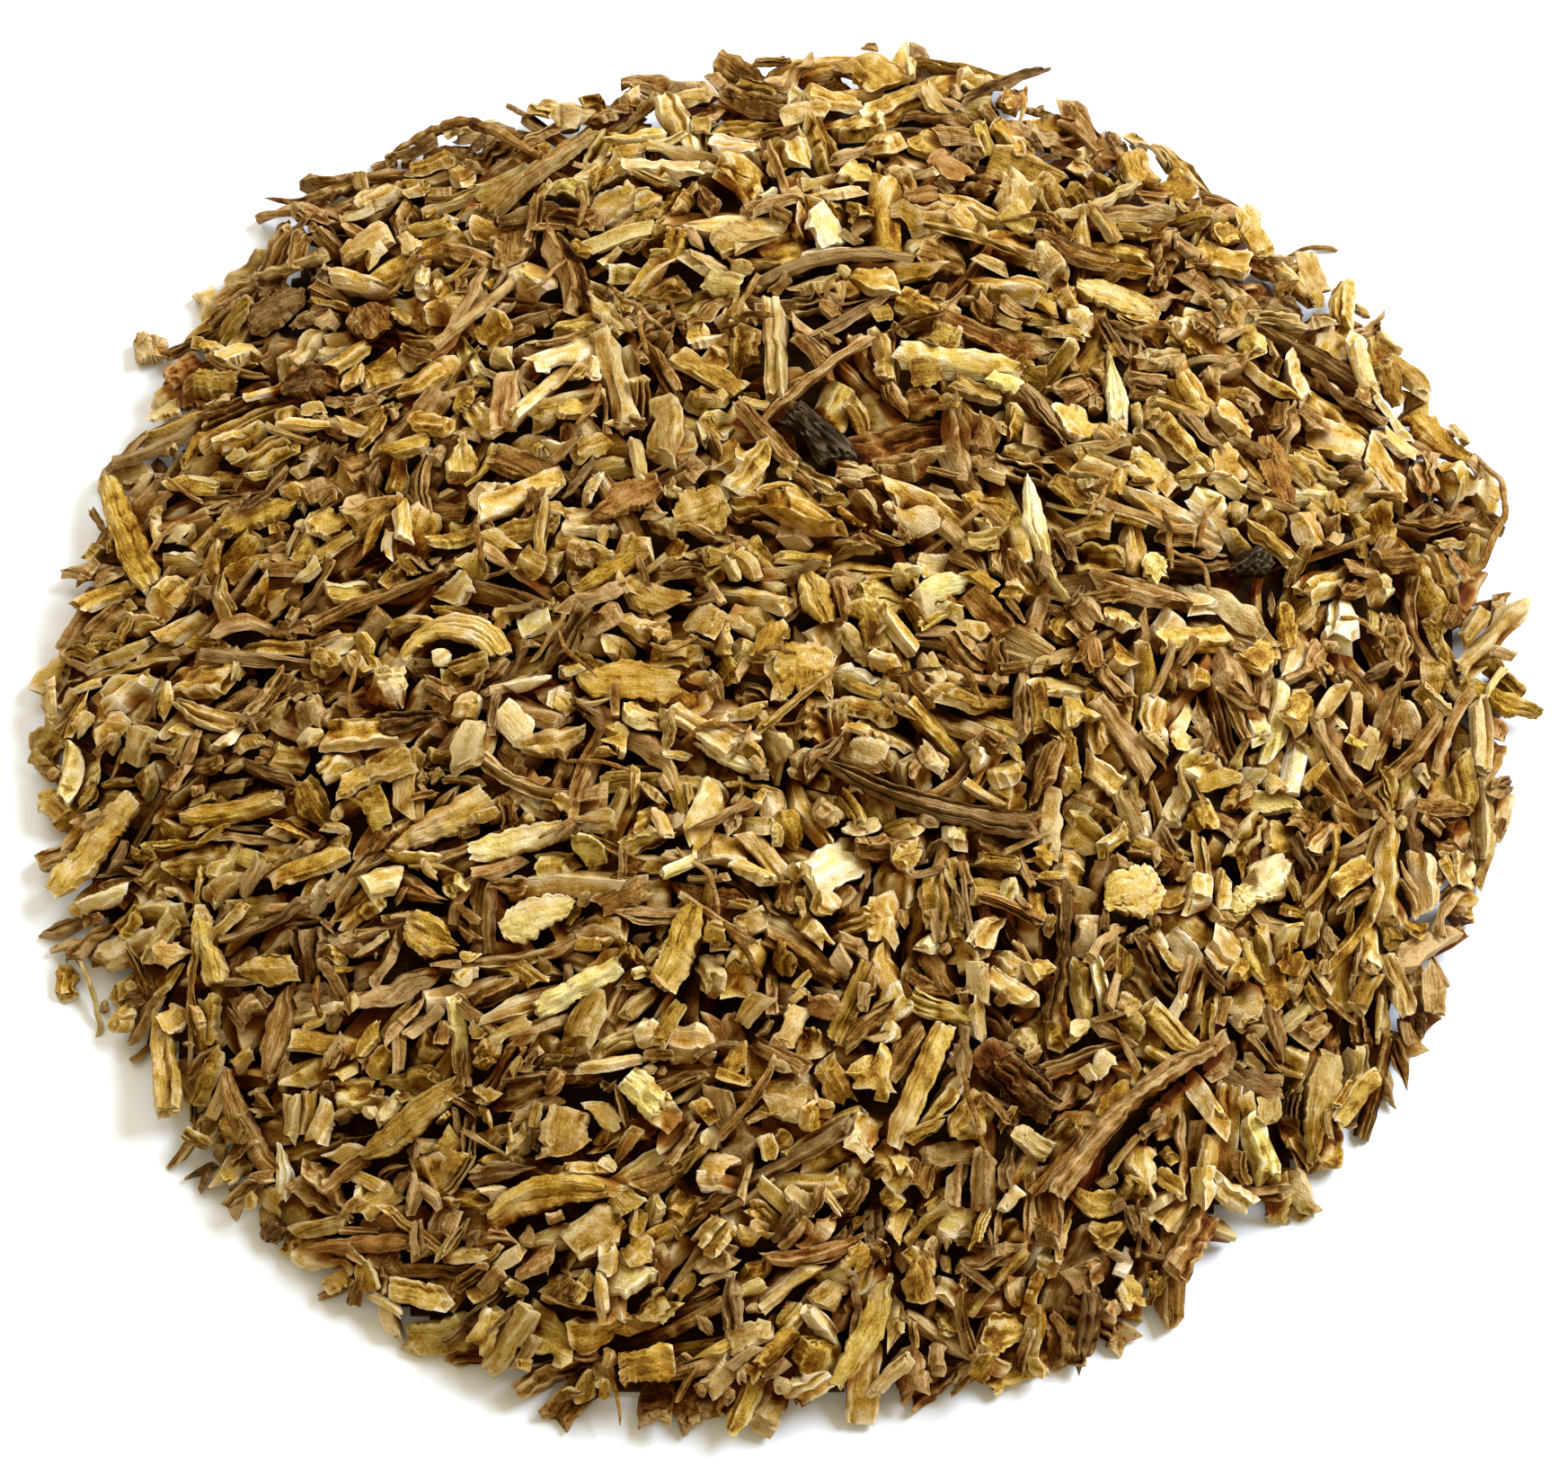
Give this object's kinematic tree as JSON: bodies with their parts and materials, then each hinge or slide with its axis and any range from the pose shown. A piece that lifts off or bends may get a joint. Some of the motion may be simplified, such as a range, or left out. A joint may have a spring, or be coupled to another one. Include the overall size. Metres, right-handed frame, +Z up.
{
  "type": "heap of cut dong quai root",
  "caption": "Low round heap of dried dong quai root, cut and sifted: small chips, splinters, slices and bark with larger pieces lying on top.",
  "frame": {"origin": "on the surface the heap lies on, under the middle of its bounding box", "axes": "+Z up, +Y away from the viewer of the picture, +X to the viewer's right"},
  "size_m": [0.1202, 0.1218, 0.0179],
  "materials": {
    "straw": "satin, straw-coloured split wood",
    "cream": "matte, pale fresh-cut wood",
    "gold": "satin, golden-brown split wood",
    "olive": "satin, olive-grey weathered wood",
    "bark": "satin, wrinkled brown bark",
    "russet": "satin, red-brown inner bark",
    "umber": "matte, dark furrowed bark",
    "soot": "matte, nearly black crown lump",
    "mixed": "satin, mixed straw, gold and brown chips"
  },
  "bodies": {
    "root": {"small_chips": "mixed", "long_dark_splinter": "umber", "long_brown_stick": "bark", "ridged_dark_chunk": "umber", "left_gold_wedge": "gold", "gold_slab": "gold", "pale_round_stick": "straw", "cream_stick": "cream", "left_gold_slab": "gold", "left_rim_slab": "straw", "grained_gold_block": "gold", "cream_bar": "cream", "gold_upright_low": "gold", "gold_upright_high": "straw", "tan_bent_stick": "bark", "bark_backed_slab": "olive", "pale_fork": "cream", "pale_spindle": "cream", "pale_green_slab": "straw", "dark_slab_right": "umber", "right_rim_wedge": "gold", "jutting_right_chip": "gold", "long_gold_bar": "straw", "long_yellow_leaf": "straw", "russet_splinter": "russet", "gold_point": "gold", "pale_needle": "cream", "olive_bar": "olive", "curled_pale_slice": "straw", "gold_curved_stub": "gold", "square_slice": "gold", "amber_slice": "olive", "olive_slice": "umber", "white_flake": "cream", "ruffled_flake": "gold", "cream_flake": "cream", "white_shard": "cream", "tan_tile": "straw", "tan_long_flake": "olive", "russet_slab_left": "russet", "russet_slab_right": "russet", "dark_brown_block": "umber", "wrinkled_brown_chunk": "bark", "pale_cube": "straw", "pale_tooth": "straw", "outlying_block": "gold", "rim_brown_block": "olive", "gold_lobe": "gold", "striped_chip": "olive", "yellow_cube": "straw", "gold_wrinkled_block": "gold", "cream_brick": "cream", "gold_stump": "gold", "bottom_lump": "gold", "black_crumb_large": "soot", "black_crumb_right": "soot", "long_curved_root": "bark", "grey_upright_twig": "umber", "brown_root_left": "bark"}
  },
  "joints": []
}
